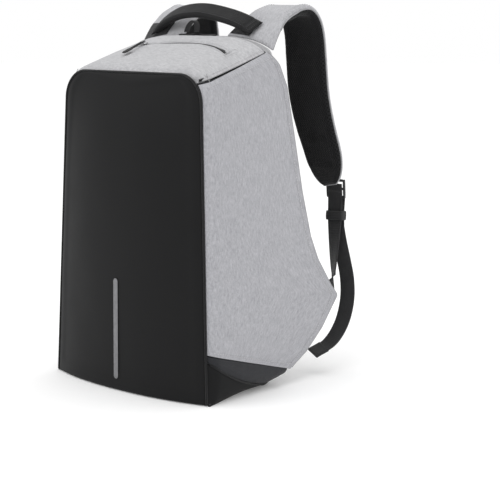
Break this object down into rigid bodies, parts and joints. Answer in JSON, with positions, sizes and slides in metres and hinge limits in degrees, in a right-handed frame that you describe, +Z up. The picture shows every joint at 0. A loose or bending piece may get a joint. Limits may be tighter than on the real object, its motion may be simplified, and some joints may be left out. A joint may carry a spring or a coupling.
{
  "type": "backpack",
  "caption": "Hard-front daypack with grey fabric sides, hinged top lid, hidden zips, a charging port and padded shoulder straps.",
  "frame": {"origin": "centre of the bounding box's bottom face, on the floor under the standing pack", "axes": "+X to the right seen from the front, +Y from the black front panel towards the wearer's side, +Z up"},
  "size_m": [0.3078, 0.3096, 0.5056],
  "materials": {
    "front_shell": "satin",
    "trim": "matte",
    "reflector": "satin",
    "grey_fabric": "matte",
    "dark_fabric": "matte",
    "lining": "matte",
    "air_mesh": "matte",
    "webbing": "matte",
    "handle_fabric": "matte",
    "black_plastic": "satin",
    "zip_metal": "polished",
    "rubber": "matte",
    "board": "matte"
  },
  "bodies": {
    "shell": {"front_panel": "front_shell", "front_piping": "trim", "reflective_strip": "reflector", "side_panel_left": "grey_fabric", "side_panel_right": "grey_fabric", "bottom_gusset_left": "dark_fabric", "bottom_gusset_right": "dark_fabric", "bottom_panel": "front_shell", "base_board": "board", "main_zip_coil": "trim", "back_panel": "air_mesh", "back_board": "board", "back_pad_left": "air_mesh", "back_pad_right": "air_mesh", "lumbar_pad": "air_mesh", "laptop_sleeve": "lining", "organiser_pocket": "lining", "battery_pocket": "lining", "strap_root_left": "grey_fabric", "strap_root_right": "grey_fabric", "strap_tab_left": "webbing", "strap_tab_right": "webbing", "port_frame": "black_plastic", "usb_socket": "zip_metal"},
    "lid": {"top_lid": "grey_fabric", "pocket_zip_tape": "trim", "pocket_zip_coil": "trim", "lid_pocket": "lining"},
    "pocket_slider": {"pocket_zip_slider": "zip_metal"},
    "pocket_pull": {"pocket_zip_pull": "trim"},
    "main_slider_left": {"main_zip_slider_left": "zip_metal"},
    "main_slider_right": {"main_zip_slider_right": "zip_metal"},
    "main_pull_left": {"main_zip_pull_left": "trim"},
    "main_pull_right": {"main_zip_pull_right": "trim"},
    "handle": {"carry_handle": "handle_fabric"},
    "loop": {"hang_loop": "webbing"},
    "port_flap": {"port_cover": "rubber"},
    "strap_left": {"shoulder_strap_left": "grey_fabric", "strap_lining_left": "air_mesh", "strap_webbing_left": "webbing", "tail_fold_left": "webbing"},
    "lock_left": {"ladder_lock_left": "black_plastic"},
    "keeper_left": {"strap_keeper_left": "webbing"},
    "tail_left": {"strap_tail_left": "webbing"},
    "strap_right": {"shoulder_strap_right": "grey_fabric", "strap_lining_right": "air_mesh", "strap_webbing_right": "webbing", "tail_fold_right": "webbing"},
    "lock_right": {"ladder_lock_right": "black_plastic"},
    "keeper_right": {"strap_keeper_right": "webbing"},
    "tail_right": {"strap_tail_right": "webbing"}
  },
  "joints": [
    {"name": "lid_opens", "type": "hinge", "parent": "shell", "child": "lid", "pos_m": [0, -0.1215, 0.412], "axis": [1, 0, 0], "range_deg": [0, 100]},
    {"name": "pocket_zip_runs", "type": "hinge", "parent": "lid", "child": "pocket_slider", "pos_m": [0.01027, -0.22338, 0.3529], "axis": [-0.0171, 0.4572, -0.8892], "range_deg": [0, 42]},
    {"name": "pocket_pull_lifts", "type": "hinge", "parent": "pocket_slider", "child": "pocket_pull", "pos_m": [-0.06015, -0.0443, 0.45188], "axis": [-0.9894, -0.1215, -0.0793], "range_deg": [0, 150]},
    {"name": "main_zip_runs_left", "type": "slide", "parent": "shell", "child": "main_slider_left", "axis": [-1, 0, 0], "range_m": [0, 0.055]},
    {"name": "main_pull_lifts_left", "type": "hinge", "parent": "main_slider_left", "child": "main_pull_left", "pos_m": [-0.008, 0, 0.46109], "axis": [0, 1, 0], "range_deg": [0, 150]},
    {"name": "main_zip_runs_right", "type": "slide", "parent": "shell", "child": "main_slider_right", "axis": [1, 0, 0], "range_m": [0, 0.055]},
    {"name": "main_pull_lifts_right", "type": "hinge", "parent": "main_slider_right", "child": "main_pull_right", "pos_m": [0.008, 0, 0.46109], "axis": [0, -1, 0], "range_deg": [0, 150]},
    {"name": "handle_tips", "type": "hinge", "parent": "shell", "child": "handle", "pos_m": [0, 0.019, 0.47], "axis": [1, 0, 0], "range_deg": [-15, 15]},
    {"name": "loop_tips", "type": "hinge", "parent": "shell", "child": "loop", "pos_m": [-0.028, 0.016, 0.4645], "axis": [1, 0, 0], "range_deg": [-20, 20]},
    {"name": "strap_swings_left", "type": "hinge", "parent": "shell", "child": "strap_left", "pos_m": [-0.08478, 0.0413, 0.47967], "axis": [-0.1435, 0.217, -0.9656], "range_deg": [-10, 10]},
    {"name": "lock_tilts_left", "type": "hinge", "parent": "strap_left", "child": "lock_left", "pos_m": [-0.123, 0.14514, 0.26298], "axis": [1, 0, 0], "range_deg": [0, 25]},
    {"name": "keeper_slides_left", "type": "slide", "parent": "strap_left", "child": "keeper_left", "axis": [0.0583, 0.1087, 0.9924], "range_m": [-0.01, 0.015]},
    {"name": "tail_swings_left", "type": "hinge", "parent": "strap_left", "child": "tail_left", "pos_m": [-0.1261, 0.1439, 0.2], "axis": [1, 0, 0], "range_deg": [-10, 50]},
    {"name": "strap_swings_right", "type": "hinge", "parent": "shell", "child": "strap_right", "pos_m": [0.08478, 0.0413, 0.47967], "axis": [0.1435, 0.217, -0.9656], "range_deg": [-10, 10]},
    {"name": "lock_tilts_right", "type": "hinge", "parent": "strap_right", "child": "lock_right", "pos_m": [0.123, 0.14514, 0.26298], "axis": [1, 0, 0], "range_deg": [0, 25]},
    {"name": "keeper_slides_right", "type": "slide", "parent": "strap_right", "child": "keeper_right", "axis": [-0.0583, 0.1087, 0.9924], "range_m": [-0.01, 0.015]},
    {"name": "tail_swings_right", "type": "hinge", "parent": "strap_right", "child": "tail_right", "pos_m": [0.1261, 0.1439, 0.2], "axis": [1, 0, 0], "range_deg": [-10, 50]},
    {"name": "port_cover_opens", "type": "hinge", "parent": "shell", "child": "port_flap", "pos_m": [-0.15288, -0.052, 0.2385], "axis": [0, 1, 0], "range_deg": [0, 110]}
  ]
}
